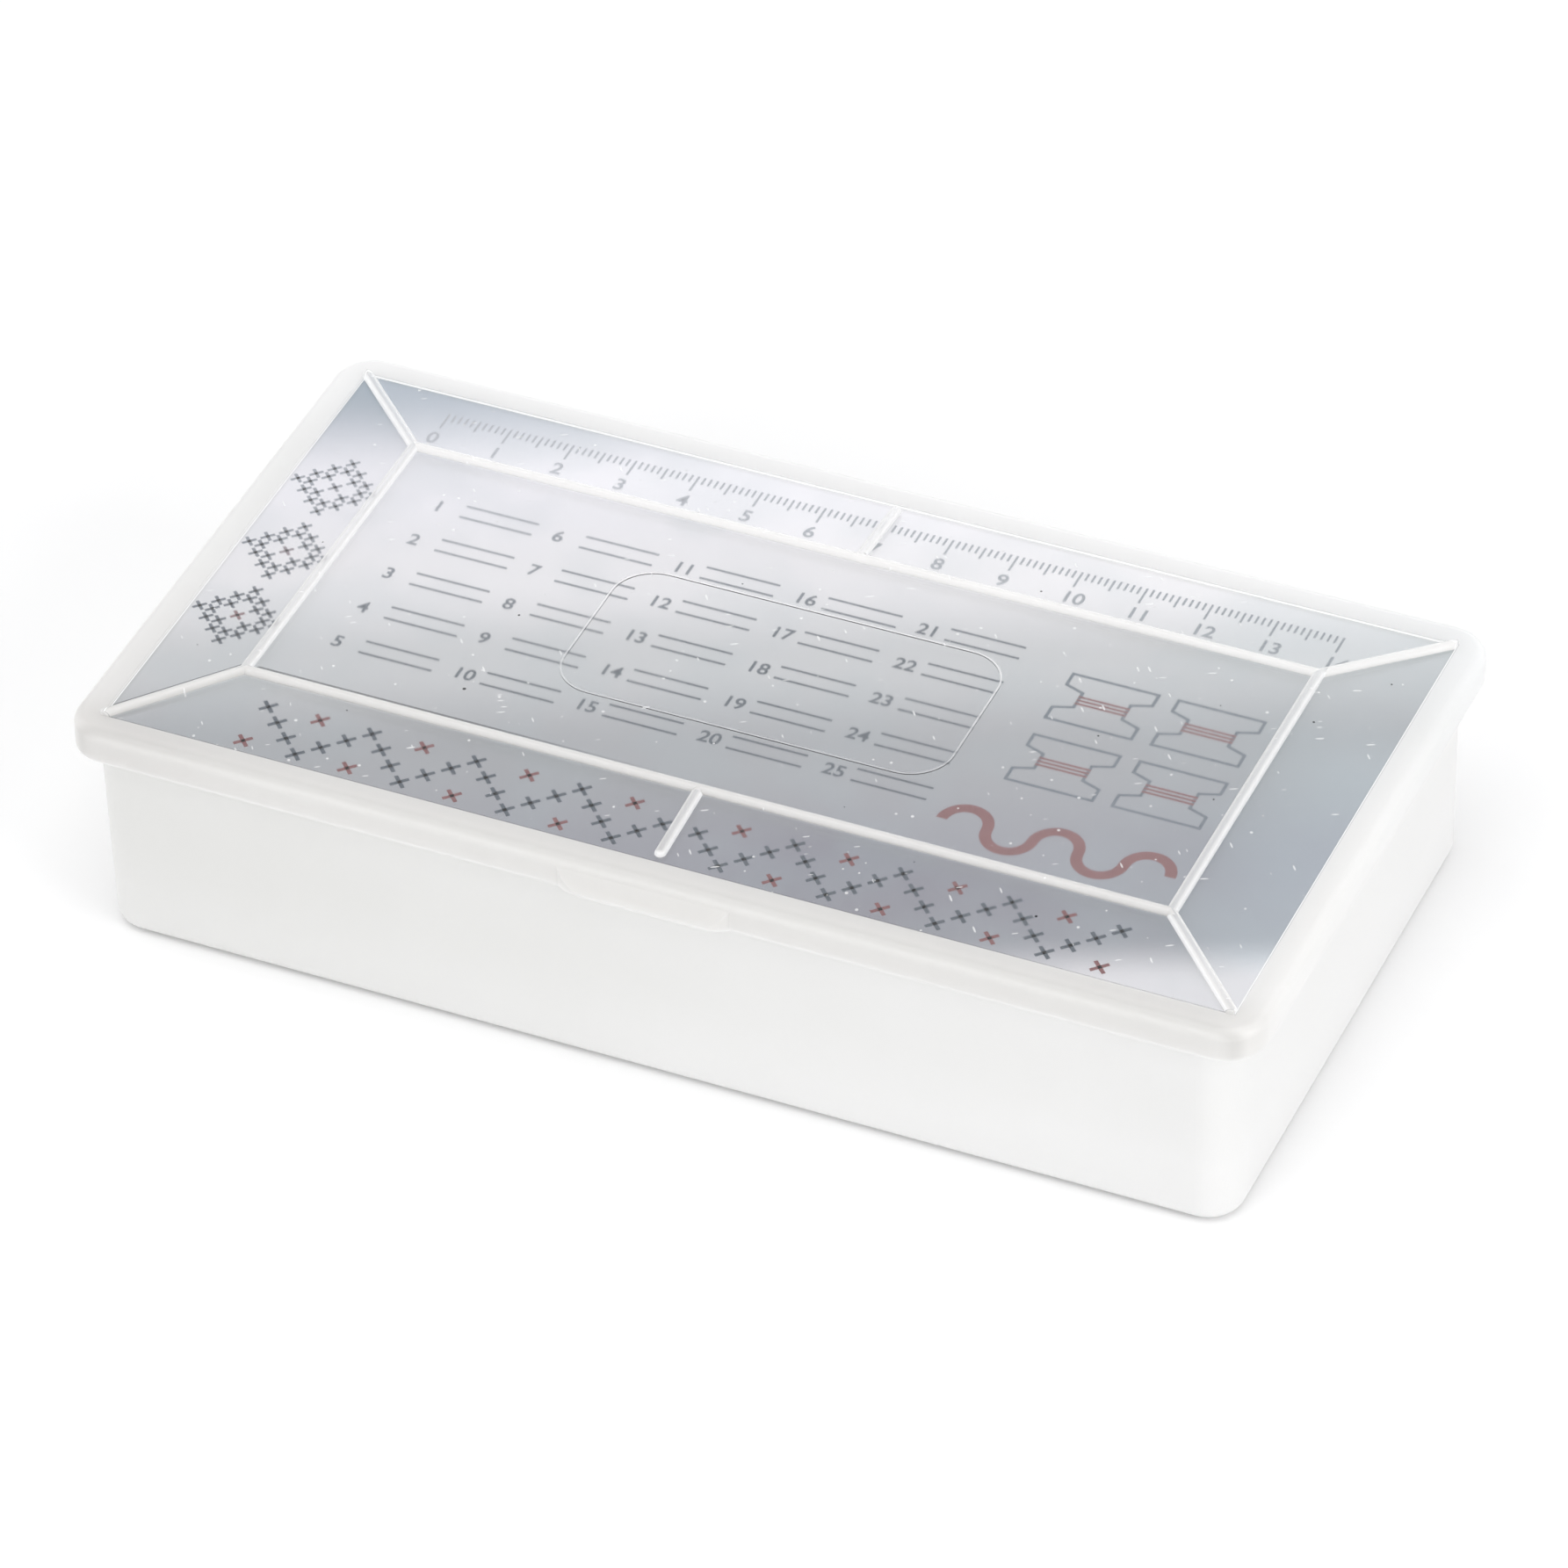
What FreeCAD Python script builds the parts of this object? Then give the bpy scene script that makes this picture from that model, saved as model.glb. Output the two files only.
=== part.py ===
import FreeCAD, Part
import math
import os

from FreeCAD import Vector

# Bobbin box: a hinged, see-through lid over a milky tray with five compartments,
# a printed card under the lid, and a row of flat floss bobbins.
# Millimetres. X runs along the box, Y towards the hinge, Z up.
# The origin is the middle of the tray's flat underside.

# Lid seen from above
LID_LENGTH = 180.0
LID_DEPTH = 95.0
LID_CORNER_RADIUS = 6.0
RIM_BAND = 4.4              # frosted band between the outside and the clear panel
HIP_RUN = 15.2              # width of each sloping facet of the panel
CARTOUCHE_LENGTH = 60.0     # bare field outlined in the middle of the panel
CARTOUCHE_DEPTH = 29.0
CARTOUCHE_CORNER_RADIUS = 6.5
CARTOUCHE_LINE_WIDTH = 0.4
CARTOUCHE_LINE_HEIGHT = 0.15

# Lid in section
LID_EDGE_RADIUS = 1.5
SKIRT_HEIGHT = 4.8
SKIRT_WALL = 1.2
PANEL_STEP = 0.05           # panel border below the top of the rim
PANEL_THICKNESS = 1.05
HIP_RISE = 1.35
RIB_WIDTH = 1.7
RIB_HEIGHT = 0.8
MID_RIB_END_GAP = 1.0       # the middle ribs stop short of the rim

# Thumb lip on the front of the skirt
LIP_WIDTH = 26.0
LIP_REACH = 1.2
LIP_NOSE = 0.5              # upright nose under the ramp
LIP_END_RADIUS = 6.0        # seen from above, so that the lip runs out softly

# Printed card
CARD_THICKNESS = 0.35
CARD_PLAY = 0.05            # recess deeper than the card
CARD_FIT = 0.1              # round the card's edges

# Tray
TRAY_WALL = 1.3
TRAY_FLOOR = 1.4
TRAY_TAPER = 0.3            # each side, from rim to floor
TRAY_CORNER_RADIUS = 5.5
TRAY_FOOT_RADIUS = 2.6
DIVIDER_WALL = 1.2
DIVIDER_DROP = 1.0          # below the tray's rim
DIVIDER_ROUND = 0.45

# Fits between lid and tray
LID_GAP = 0.3               # between the tray's rim and the lid
SKIRT_GAP = 0.4             # front and back
END_GAP = 2.1               # left and right, room for a finger tip

# Hinge: barrels with stub pins on the lid, ears on the tray
HINGE_SPACING = 100.0
BARREL_LENGTH = 14.0
BARREL_RADIUS = 1.9
BARREL_GAP = 0.4            # barrel to the tray's back
HINGE_GAP = 0.3             # under the skirt's foot
HINGE_WEB_HEIGHT = 3.2      # up the back of the skirt
HINGE_SHOULDER = 40.0       # degrees round the barrel where the web leaves it
PIN_RADIUS = 1.0
PIN_CLEARANCE = 0.06
PIN_INSET = 0.2             # pin end behind the ear's face
EAR_THICKNESS = 3.0
EAR_SIDE_GAP = 0.3
EAR_GUSSET = 4.0
OPEN_ANGLE = 110.0          # the heel of each barrel meets the tray here
HEEL_WIDTH = 1.2
HEEL_GAP = 0.08

# Bobbins
BOBBIN_COUNT = 25
BOBBIN_WIDTH = 38.0
BOBBIN_HEIGHT = 31.0
BOBBIN_THICKNESS = 1.2
BOBBIN_CORNER_RADIUS = 1.5
BOBBIN_CORNER_FLATS = 3     # each corner is rounded by this many flats
BOBBIN_NOTCH_DEPTH = 8.0
BOBBIN_NOTCH_HEIGHT = 14.0
BOBBIN_NOTCH_SLOPE = 3.0    # the notch narrows by this towards the waist, each side
BOBBIN_HOLE_RADIUS = 1.5
BOBBIN_HOLE_SIDES = 8       # punched with flats, as small holes in thin sheet are
BOBBIN_HOLE_DROP = 4.4      # hole centre below the top edge
BOBBIN_SLIT_WIDTH = 0.8
BOBBIN_SLIT_DEPTH = 4.5
BOBBIN_SLIT_INSET = 5.0     # from the side edge
BOBBIN_PLAY = 2.0           # each side, to the compartment walls
BOBBIN_SPACING = 0.15
BOBBIN_LEAN = 8.0           # degrees, against the back wall
BOBBIN_HEADROOM = 3.1
ROW_GAP = 0.1               # last bobbin to the back wall

# Heights, from the table up
tray_height = TRAY_FLOOR + BOBBIN_HEIGHT + BOBBIN_HEADROOM
rim_under = tray_height + LID_GAP
panel_under = rim_under + CARD_THICKNESS + CARD_PLAY
panel_z = panel_under + PANEL_THICKNESS
rim_top = panel_z + PANEL_STEP
skirt_foot = rim_top - SKIRT_HEIGHT
hip_z = panel_z + HIP_RISE

# Plan sizes
tray_length = LID_LENGTH - 2 * (SKIRT_WALL + END_GAP)
tray_depth = LID_DEPTH - 2 * (SKIRT_WALL + SKIRT_GAP)
panel_length = LID_LENGTH - 2 * RIM_BAND
panel_depth = LID_DEPTH - 2 * RIM_BAND
hip_length = panel_length - 2 * HIP_RUN
hip_depth = panel_depth - 2 * HIP_RUN
bobbin_column = BOBBIN_WIDTH + 2 * BOBBIN_PLAY

# Hinge axis
hinge_y = tray_depth / 2 + BARREL_GAP + BARREL_RADIUS
hinge_z = skirt_foot - HINGE_GAP - BARREL_RADIUS

X_AXIS = Vector(1, 0, 0)
Z_AXIS = Vector(0, 0, 1)


def rounded_outline(length, depth, radius, z):
    """Closed outline of a rectangle with round corners, centred on the Z axis."""
    half_x, half_y = length / 2, depth / 2
    edges = []
    for turn in range(4):
        reach, side = (half_x, half_y) if turn % 2 == 0 else (half_y, half_x)
        start = Vector(reach, radius - side, z)
        end = Vector(reach, side - radius, z)
        middle = Vector(reach - radius * (1 - math.sqrt(0.5)), side - radius * (1 - math.sqrt(0.5)), z)
        after = Vector(reach - radius, side, z)
        for edge in (Part.makeLine(start, end), Part.Arc(end, middle, after).toShape()):
            edge.rotate(Vector(), Z_AXIS, 90 * turn)
            edges.append(edge)
    return Part.Wire(Part.__sortEdges__(edges))


def rounded_block(length, depth, radius, bottom, top):
    """Upright block with round corners, centred on the Z axis."""
    face = Part.Face(rounded_outline(length, depth, radius, bottom))
    return face.extrude(Z_AXIS * (top - bottom))


def plain_block(length, depth, bottom, top):
    """Upright block with square corners, centred on the Z axis."""
    return Part.makeBox(length, depth, top - bottom, Vector(-length / 2, -depth / 2, bottom))


def sloped_block(foot_length, foot_depth, bottom, top_length, top_depth, top):
    """Block with four flat sloping sides, centred on the Z axis."""
    block = Part.makeWedge(-foot_length / 2, bottom, -foot_depth / 2, -top_depth / 2, -top_length / 2,
                           foot_length / 2, top, foot_depth / 2, top_depth / 2, top_length / 2)
    block.rotate(Vector(), X_AXIS, 90)
    return block


def hipped_block(bottom):
    """Shallow hipped roof over the panel, from its border to the flat middle."""
    return sloped_block(panel_length, panel_depth, bottom, hip_length, hip_depth, bottom + HIP_RISE)


def corner_points(length, depth, z):
    """Four corners of a rectangle, back to the first."""
    signs = ((-1, -1), (1, -1), (1, 1), (-1, 1), (-1, -1))
    return [Vector(sx * length / 2, sy * depth / 2, z) for sx, sy in signs]


def profile_along_x(points, x, width):
    """Prism of a (y, z) outline, centred on x."""
    corners = [Vector(x - width / 2, y, z) for y, z in points]
    face = Part.Face(Part.makePolygon(corners + corners[:1]))
    return face.extrude(X_AXIS * width)


def rod_along_x(radius, x, width, y, z):
    """Round rod parallel to X, centred on x."""
    return Part.makeCylinder(radius, width, Vector(x - width / 2, y, z), X_AXIS)


def tapered_block(length, depth, corner_radius, foot_radius, bottom, top):
    """Drafted block with round corners and a round foot. Its size is given at the top."""
    inset = 2 * TRAY_TAPER * (top - bottom) / tray_height
    block = sloped_block(length - inset, depth - inset, bottom, length, depth, top)
    upright = [edge for edge in block.Edges if edge.BoundBox.ZLength > (top - bottom) / 2]
    block = block.makeFillet(corner_radius, upright)
    foot = [edge for edge in block.Edges if edge.BoundBox.ZMax < bottom + foot_radius / 2]
    return block.makeFillet(foot_radius, foot)


def divider(length, depth, x, y):
    """Compartment wall with a rounded top edge, still running into the tray's walls."""
    top = tray_height - DIVIDER_DROP
    wall = Part.makeBox(length, depth, top, Vector(x - length / 2, y - depth / 2, 0))
    long_top = [edge for edge in wall.Edges
                if edge.BoundBox.ZMin > top / 2 and edge.Length > 2 * DIVIDER_WALL]
    return wall.makeFillet(min(DIVIDER_ROUND, 0.45 * DIVIDER_WALL), long_top)


def hinge_ears(x):
    """Pair of gusseted ears on the tray's back, each with a hole for a stub pin."""
    root = tray_depth / 2 - TRAY_WALL / 2
    outline = [(root, hinge_z + BARREL_RADIUS), (hinge_y, hinge_z + BARREL_RADIUS),
               (hinge_y, hinge_z - BARREL_RADIUS), (root, hinge_z - BARREL_RADIUS - EAR_GUSSET)]
    ears = []
    for side in (-1, 1):
        ear_x = x + side * (BARREL_LENGTH / 2 + EAR_SIDE_GAP + EAR_THICKNESS / 2)
        plate = profile_along_x(outline, ear_x, EAR_THICKNESS)
        eye = rod_along_x(BARREL_RADIUS, ear_x, EAR_THICKNESS, hinge_y, hinge_z)
        hole = rod_along_x(PIN_RADIUS + PIN_CLEARANCE, ear_x, 2 * EAR_THICKNESS, hinge_y, hinge_z)
        ears.append(plate.fuse(eye).cut(hole))
    return ears


def hinge_barrel(x):
    """Lid barrel with its stub pins, the web up to the skirt, and the heel that stops the lid."""
    skirt_out = LID_DEPTH / 2
    skirt_in = skirt_out - SKIRT_WALL
    shoulder = math.radians(HINGE_SHOULDER)
    web = profile_along_x([(skirt_in, skirt_foot + HINGE_WEB_HEIGHT / 2),
                           (skirt_in, skirt_foot),
                           (hinge_y - BARREL_RADIUS, hinge_z),
                           (hinge_y, hinge_z),
                           (hinge_y + BARREL_RADIUS * math.cos(shoulder),
                            hinge_z + BARREL_RADIUS * math.sin(shoulder)),
                           (skirt_out, skirt_foot + HINGE_WEB_HEIGHT)], x, BARREL_LENGTH)
    barrel = rod_along_x(BARREL_RADIUS, x, BARREL_LENGTH, hinge_y, hinge_z)
    pin_length = BARREL_LENGTH + 2 * (EAR_SIDE_GAP + EAR_THICKNESS - PIN_INSET)
    pin = rod_along_x(PIN_RADIUS, x, pin_length, hinge_y, hinge_z)
    heel_reach = BARREL_GAP + BARREL_RADIUS - HEEL_GAP
    half = HEEL_WIDTH / 2
    heel = profile_along_x([(half, 0), (half, -heel_reach), (-half, -heel_reach), (-half, 0)],
                           x, BARREL_LENGTH)
    heel.rotate(Vector(), X_AXIS, OPEN_ANGLE - 90)
    heel.translate(Vector(0, hinge_y, hinge_z))
    return barrel.fuse([web, pin, heel])


def rib(start, end):
    """Rounded bead standing proud of the panel along a line on its surface."""
    radius = (RIB_WIDTH ** 2 / 4 + RIB_HEIGHT ** 2) / (2 * RIB_HEIGHT)
    sink = Vector(0, 0, RIB_HEIGHT - radius)
    along = end - start
    bead = Part.makeCylinder(radius, along.Length, start + sink, along)
    return bead.fuse([Part.makeSphere(radius, start + sink), Part.makeSphere(radius, end + sink)])


def panel_ribs():
    """Ribs along the panel's folds: the middle rectangle, the hips and one on each long facet."""
    inner = corner_points(hip_length, hip_depth, hip_z)
    outer = corner_points(panel_length, panel_depth, panel_z)
    window = plain_block(panel_length, panel_depth, rim_under, hip_z + RIB_HEIGHT)
    ribs = [rib(inner[k], inner[k + 1]) for k in range(4)]
    ribs += [rib(inner[k], outer[k]).common(window) for k in range(4)]
    run = HIP_RUN - MID_RIB_END_GAP - RIB_WIDTH / 2
    for side in (-1, 1):
        top = Vector(0, side * hip_depth / 2, hip_z)
        ribs.append(rib(top, top + Vector(0, side * run, -HIP_RISE * run / HIP_RUN)))
    return ribs


def cartouche():
    """Fine raised outline of the bare field in the middle of the panel."""
    top = hip_z + CARTOUCHE_LINE_HEIGHT
    bottom = hip_z - CARTOUCHE_LINE_HEIGHT
    line = 2 * CARTOUCHE_LINE_WIDTH
    field = rounded_block(CARTOUCHE_LENGTH, CARTOUCHE_DEPTH, CARTOUCHE_CORNER_RADIUS, bottom, top)
    inside = rounded_block(CARTOUCHE_LENGTH - line, CARTOUCHE_DEPTH - line,
                           CARTOUCHE_CORNER_RADIUS - CARTOUCHE_LINE_WIDTH, bottom, top)
    return field.cut(inside)


def thumb_lip():
    """Ramp that flares out of the skirt's front, below the lid's round edge, with soft ends."""
    front = -LID_DEPTH / 2
    inside = front + SKIRT_WALL / 2
    nose = front - LIP_REACH
    top = rim_top - LID_EDGE_RADIUS
    ramp = profile_along_x([(inside, skirt_foot), (nose, skirt_foot), (nose, skirt_foot + LIP_NOSE),
                            (front, top), (inside, top)], 0, LIP_WIDTH)
    end_run = math.sqrt(LIP_REACH * (2 * LIP_END_RADIUS - LIP_REACH))
    plan_width = LIP_WIDTH + 2 * (LIP_END_RADIUS - end_run)
    plan_depth = 2 * LIP_END_RADIUS + SKIRT_WALL
    plan = rounded_block(plan_width, plan_depth, LIP_END_RADIUS, skirt_foot, top)
    return ramp.common(plan.translated(Vector(0, nose + plan_depth / 2, 0)))


def make_lid():
    """Skirted lid: frosted rim, hipped clear panel with ribs, thumb lip and hinge barrels."""
    body = rounded_block(LID_LENGTH, LID_DEPTH, LID_CORNER_RADIUS, skirt_foot, rim_top)
    top_edges = [edge for edge in body.Edges if edge.BoundBox.ZMin > rim_top - LID_EDGE_RADIUS / 2]
    body = body.makeFillet(LID_EDGE_RADIUS, top_edges)
    hollow = rounded_block(LID_LENGTH - 2 * SKIRT_WALL, LID_DEPTH - 2 * SKIRT_WALL,
                           LID_CORNER_RADIUS - SKIRT_WALL, skirt_foot, rim_under)
    card_recess = plain_block(panel_length, panel_depth, rim_under, panel_under)
    panel_recess = plain_block(panel_length, panel_depth, panel_z, rim_top)
    body = body.cut([hollow, card_recess, panel_recess])
    body = body.fuse(hipped_block(panel_z)).cut(hipped_block(panel_under))
    barrels = [hinge_barrel(side * HINGE_SPACING / 2) for side in (-1, 1)]
    body = body.fuse(panel_ribs() + [cartouche(), thumb_lip()] + barrels)
    inner_roof = hipped_block(panel_under).fuse([hollow, card_recess])
    return body.cut(inner_roof).removeSplitter()


def make_card():
    """Thin card in the recess under the panel."""
    return plain_block(panel_length - 2 * CARD_FIT, panel_depth - 2 * CARD_FIT,
                       panel_under - CARD_THICKNESS, panel_under)


def make_tray():
    """Drafted tray with four small compartments either side of the bobbin column."""
    outside = tapered_block(tray_length, tray_depth, TRAY_CORNER_RADIUS, TRAY_FOOT_RADIUS, 0, tray_height)
    inside = tapered_block(tray_length - 2 * TRAY_WALL, tray_depth - 2 * TRAY_WALL,
                           TRAY_CORNER_RADIUS - TRAY_WALL, TRAY_FOOT_RADIUS - TRAY_WALL,
                           TRAY_FLOOR, tray_height)
    column_x = (bobbin_column + DIVIDER_WALL) / 2
    end_length = (tray_length - bobbin_column) / 2
    walls = []
    for side in (-1, 1):
        walls.append(divider(DIVIDER_WALL, tray_depth, side * column_x, 0))
        walls.append(divider(end_length, DIVIDER_WALL, side * (bobbin_column + end_length) / 2, 0))
    tray = outside.cut(inside).fuse([wall.common(outside) for wall in walls])
    for side in (-1, 1):
        tray = tray.fuse(hinge_ears(side * HINGE_SPACING / 2))
    return tray.removeSplitter()


def bobbin_blank():
    """Rectangle of thin sheet with its corners rounded by a few flats, centred on the Z axis."""
    centre_x = BOBBIN_WIDTH / 2 - BOBBIN_CORNER_RADIUS
    centre_y = BOBBIN_HEIGHT / 2 - BOBBIN_CORNER_RADIUS
    outline = []
    for quarter, (sx, sy) in enumerate(((1, 1), (-1, 1), (-1, -1), (1, -1))):
        for flat in range(BOBBIN_CORNER_FLATS + 1):
            turn = math.pi / 2 * (quarter + flat / BOBBIN_CORNER_FLATS)
            outline.append(Vector(sx * centre_x + BOBBIN_CORNER_RADIUS * math.cos(turn),
                                  sy * centre_y + BOBBIN_CORNER_RADIUS * math.sin(turn), 0))
    return Part.Face(Part.makePolygon(outline + outline[:1])).extrude(Z_AXIS * BOBBIN_THICKNESS)


def make_bobbin():
    """Flat floss bobbin standing on its lower edge, its back face in the XZ plane."""
    plate = bobbin_blank()
    cuts = []
    for side in (-1, 1):
        mouth = side * BOBBIN_WIDTH / 2
        waist = mouth - side * BOBBIN_NOTCH_DEPTH
        half = BOBBIN_NOTCH_HEIGHT / 2
        notch = Part.makePolygon([Vector(mouth, -half, 0), Vector(mouth, half, 0),
                                  Vector(waist, half - BOBBIN_NOTCH_SLOPE, 0),
                                  Vector(waist, BOBBIN_NOTCH_SLOPE - half, 0), Vector(mouth, -half, 0)])
        cuts.append(Part.Face(notch).extrude(Z_AXIS * BOBBIN_THICKNESS))
        slit = plain_block(BOBBIN_SLIT_WIDTH, 2 * BOBBIN_SLIT_DEPTH, 0, BOBBIN_THICKNESS)
        slit_x = side * (BOBBIN_WIDTH / 2 - BOBBIN_SLIT_INSET)
        cuts.append(slit.translated(Vector(slit_x, BOBBIN_HEIGHT / 2, 0)))
    turns = [2 * math.pi * (k + 0.5) / BOBBIN_HOLE_SIDES for k in range(BOBBIN_HOLE_SIDES + 1)]
    hole_y = BOBBIN_HEIGHT / 2 - BOBBIN_HOLE_DROP
    hole = Part.makePolygon([Vector(BOBBIN_HOLE_RADIUS * math.cos(turn),
                                    hole_y + BOBBIN_HOLE_RADIUS * math.sin(turn), 0) for turn in turns])
    cuts.append(Part.Face(hole).extrude(Z_AXIS * BOBBIN_THICKNESS))
    plate = plate.cut(cuts)
    plate.translate(Vector(0, BOBBIN_HEIGHT / 2, 0))
    plate.rotate(Vector(), X_AXIS, 90)
    return plate


def make_bobbin_row():
    """Bobbins leaning back in a row, the last one against the tray's back wall."""
    lean = math.radians(BOBBIN_LEAN)
    top_z = TRAY_FLOOR + BOBBIN_HEIGHT * math.cos(lean)
    wall_y = tray_depth / 2 - TRAY_WALL - TRAY_TAPER * (tray_height - top_z) / tray_height
    last_y = wall_y - ROW_GAP - BOBBIN_HEIGHT * math.sin(lean)
    pitch = (BOBBIN_THICKNESS + BOBBIN_SPACING) / math.cos(lean)
    leaning = make_bobbin()
    leaning.rotate(Vector(), X_AXIS, -BOBBIN_LEAN)
    return [leaning.translated(Vector(0, last_y - k * pitch, TRAY_FLOOR)) for k in range(BOBBIN_COUNT)]


nodes = {"base_tray": make_tray(), "lid": make_lid(), "card_insert": make_card()}
for number, shape in enumerate(make_bobbin_row(), start=1):
    nodes["bobbin_%02d" % number] = shape

os.makedirs("parts", exist_ok=True)
for name, shape in nodes.items():
    solid = shape.Solids[0]
    print(name, "solids", len(shape.Solids), "valid", shape.isValid(), "volume", round(solid.Volume, 1))
    solid.exportStep("parts/%s.step" % name)
print("hinge axis y %.3f z %.3f" % (hinge_y, hinge_z))
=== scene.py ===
# %% [markdown]
# # A hinged box for floss bobbins
# The real box is moulded in milky plastic: a tray with five compartments, a lid that swings
# on two snap hinges, a printed card held under the lid, and a row of flat bobbins. The packed
# solids already have those shapes at their real size, so this lesson leaves them as they are.
# It gives each one its finish, prints the card, and sets up the studio. Lengths are in metres.

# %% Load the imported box
import math

import bmesh
import bpy
from mathutils import Matrix, Vector


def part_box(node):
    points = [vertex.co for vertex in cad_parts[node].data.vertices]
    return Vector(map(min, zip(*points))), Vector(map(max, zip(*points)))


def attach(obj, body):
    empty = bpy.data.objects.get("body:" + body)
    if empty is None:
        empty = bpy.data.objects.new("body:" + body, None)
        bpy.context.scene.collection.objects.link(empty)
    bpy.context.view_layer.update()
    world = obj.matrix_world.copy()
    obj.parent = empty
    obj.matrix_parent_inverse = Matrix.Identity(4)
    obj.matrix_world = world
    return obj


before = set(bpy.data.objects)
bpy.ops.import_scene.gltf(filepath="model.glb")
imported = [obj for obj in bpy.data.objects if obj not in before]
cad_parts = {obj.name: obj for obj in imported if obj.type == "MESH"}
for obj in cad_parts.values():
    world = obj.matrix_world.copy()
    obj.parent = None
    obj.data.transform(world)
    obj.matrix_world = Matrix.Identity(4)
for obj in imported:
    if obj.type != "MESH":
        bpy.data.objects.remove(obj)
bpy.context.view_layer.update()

# %% [markdown]
# ## Sizes of the window
# The lid is one moulding, but its clear window, its ribs and its milky rim look different. A
# finish can tell them apart by where a point lies. The card fills the window, so the card's
# box gives the window's size. The ribs frame a flat crown, one hip in from the window's edge.

# %% Window and crown
MM = 0.001
CARD_FIT = 0.1 * MM
HIP_RUN = 15.2 * MM

_, card_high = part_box("card_insert")
window_half = Vector((card_high.x + CARD_FIT, card_high.y + CARD_FIT))
crown_half = window_half - Vector((HIP_RUN, HIP_RUN))
print("window half sizes in mm:", [round(v / MM, 1) for v in window_half])
print("crown half sizes in mm:", [round(v / MM, 1) for v in crown_half])

# %% [markdown]
# ## Small helpers for shader nodes
# A material is a graph of nodes. A few helpers keep the graphs short: they set or link a
# socket, do sums, and mix or grade colours. A soft step is a Map Range node set to Smoothstep,
# which leaves no hard edge that could show as jagged pixels.

# %% Sums
def feed(tree, socket, value):
    """Link another node's output to a socket, or set a plain value on it."""
    if isinstance(value, bpy.types.NodeSocket):
        tree.links.new(value, socket)
    else:
        socket.default_value = value


def math_node(tree, operation, *values):
    """Output of a Math node."""
    node = tree.nodes.new("ShaderNodeMath")
    node.operation = operation
    for socket, value in zip(node.inputs, values):
        feed(tree, socket, value)
    return node.outputs[0]


def chain(tree, operation, *values):
    """One operation over several values, such as their product or the largest of them."""
    result = values[0]
    for value in values[1:]:
        result = math_node(tree, operation, result, value)
    return result


def inverse(tree, mask):
    """What a mask leaves out."""
    return math_node(tree, "SUBTRACT", 1.0, mask)


print("helpers for sums are ready")


# %% Soft steps
def soft_step(tree, value, start, end, low=0.0, high=1.0):
    """Smooth change from low to high as value goes from start to end."""
    node = tree.nodes.new("ShaderNodeMapRange")
    node.interpolation_type = "SMOOTHSTEP"
    for name, given in (("Value", value), ("From Min", start), ("From Max", end),
                        ("To Min", low), ("To Max", high)):
        feed(tree, node.inputs[name], given)
    return node.outputs["Result"]


def soft_band(tree, value, start, full, fade, end):
    """Mask that rises from start to full and falls again from fade to end."""
    rise = soft_step(tree, value, start, full)
    fall = soft_step(tree, value, end, fade)
    return math_node(tree, "MULTIPLY", rise, fall)


print("helpers for soft steps are ready")


# %% Colours
def colour(red, green, blue):
    """Opaque linear colour."""
    return (red, green, blue, 1.0)


def mix_colours(tree, share, first, second, blend="MIX"):
    """Colour between two others."""
    node = tree.nodes.new("ShaderNodeMix")
    node.data_type = "RGBA"
    node.blend_type = blend
    feed(tree, node.inputs["Factor"], share)
    feed(tree, node.inputs["A"], first)
    feed(tree, node.inputs["B"], second)
    return node.outputs["Result"]


def tint(tree, share, ground, shade):
    """Colour that a share of a shade multiplies."""
    return mix_colours(tree, share, ground, shade, "MULTIPLY")


def tone_ramp(tree, value, stops):
    """Colour that eases from stop to stop as value passes their places."""
    first, last = stops[0][0], stops[-1][0]
    node = tree.nodes.new("ShaderNodeValToRGB")
    node.color_ramp.interpolation = "EASE"
    elements = node.color_ramp.elements
    for number, (place, tone) in enumerate(stops):
        share = (place - first) / (last - first)
        element = elements[number] if number < 2 else elements.new(share)
        element.position = share
        element.color = tone
    along = math_node(tree, "DIVIDE", math_node(tree, "SUBTRACT", value, first), last - first)
    tree.links.new(along, node.inputs["Fac"])
    return node.outputs["Color"]


print("helpers for colours are ready")


# %% Start a material
def new_material(name):
    """Material with an empty graph, its graph, and the socket that takes its shader."""
    material = bpy.data.materials.new(name)
    material.use_nodes = True
    material.node_tree.nodes.clear()
    output = material.node_tree.nodes.new("ShaderNodeOutputMaterial")
    return material, material.node_tree, output.inputs["Surface"]


def principled(tree, **values):
    """Principled shader; underscores in a name stand for the spaces in its socket's name."""
    node = tree.nodes.new("ShaderNodeBsdfPrincipled")
    for name, value in values.items():
        feed(tree, node.inputs[name.replace("_", " ")], value)
    return node.outputs[0]


def scattering(weight, depth):
    """Socket values for light that scatters evenly inside the plastic."""
    return {"Subsurface_Weight": weight, "Subsurface_Radius": (1.0, 1.0, 1.0),
            "Subsurface_Scale": depth}


def object_place(tree):
    """Place of a point in the shared frame."""
    return tree.nodes.new("ShaderNodeTexCoord").outputs["Object"]


def split_place(tree, place):
    """X, Y and Z of a place."""
    split = tree.nodes.new("ShaderNodeSeparateXYZ")
    tree.links.new(place, split.inputs[0])
    return split.outputs


print("helpers for materials are ready")


# %% [markdown]
# ## Effects that several finishes share
# Moulded plastic is never one even tone: it has slow clouds from the way it cooled and a very
# fine grain from the tool. Card, ink and paper have the same at other scales. So this effect
# is a node group with named inputs, and each finish places it with its own values. The card's
# bands and its fading inks follow one slanting line, and that line is a group as well.

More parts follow.
